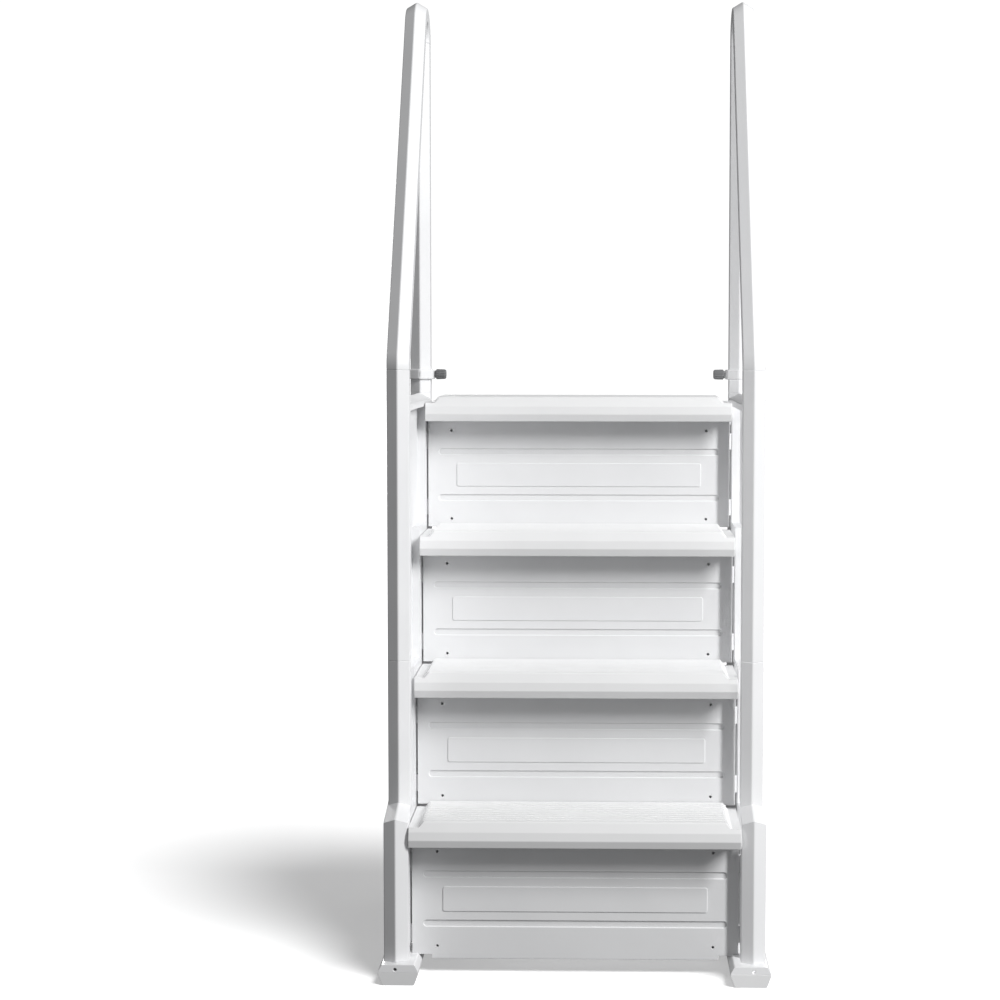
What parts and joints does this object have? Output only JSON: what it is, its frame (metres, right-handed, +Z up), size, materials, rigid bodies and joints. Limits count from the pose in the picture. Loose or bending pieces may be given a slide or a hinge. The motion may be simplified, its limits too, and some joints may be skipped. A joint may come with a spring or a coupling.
{
  "type": "pool ladder",
  "caption": "White resin in-pool step ladder with closed risers, two looped handrails and a knobbed clamp collar on each rear post.",
  "frame": {"origin": "centre of the ladder's footprint, on the floor", "axes": "+Z up, -Y towards the user who climbs (the step side), +X to that user's right"},
  "size_m": [0.713, 0.577, 1.8449],
  "materials": {
    "frame_resin": "satin moulded resin",
    "tread_resin": "satin, ribbed for grip",
    "riser_resin": "satin moulded resin",
    "pad_plastic": "satin",
    "knob_plastic": "fluted dark grey",
    "stainless": "turned stainless steel"
  },
  "bodies": {
    "ladder": {"foot_pad_l": "pad_plastic", "foot_pad_r": "pad_plastic", "foot_shoe_l": "frame_resin", "foot_shoe_r": "frame_resin", "side_lower_l": "frame_resin", "side_lower_r": "frame_resin", "side_upper_l": "frame_resin", "side_upper_r": "frame_resin", "rail_loop_l": "frame_resin", "rail_loop_r": "frame_resin", "rail_post_l": "frame_resin", "rail_post_r": "frame_resin", "tread_1": "tread_resin", "tread_2": "tread_resin", "tread_3": "tread_resin", "tread_4": "tread_resin", "riser_1": "riser_resin", "riser_2": "riser_resin", "riser_3": "riser_resin", "riser_4": "riser_resin", "mid_couplers": "frame_resin", "post_couplers": "frame_resin", "tread_screws": "stainless", "rail_screws": "stainless"},
    "collar_l": {"clamp_collar_l": "frame_resin"},
    "collar_r": {"clamp_collar_r": "frame_resin"},
    "knob_l": {"clamp_knob_l": "knob_plastic", "knob_stud_l": "stainless"},
    "knob_r": {"clamp_knob_r": "knob_plastic", "knob_stud_r": "stainless"}
  },
  "joints": [
    {"name": "collar_l_slide", "type": "slide", "parent": "ladder", "child": "collar_l", "axis": [0, 0, 1], "range_m": [-0.022, 0.62]},
    {"name": "collar_r_slide", "type": "slide", "parent": "ladder", "child": "collar_r", "axis": [0, 0, 1], "range_m": [-0.022, 0.62]},
    {"name": "knob_l_turn", "type": "hinge", "parent": "collar_l", "child": "knob_l", "pos_m": [-0.285, 0.2515, 1.101], "axis": [1, 0, 0], "continuous": true},
    {"name": "knob_r_turn", "type": "hinge", "parent": "collar_r", "child": "knob_r", "pos_m": [0.285, 0.2515, 1.101], "axis": [-1, 0, 0], "continuous": true}
  ]
}
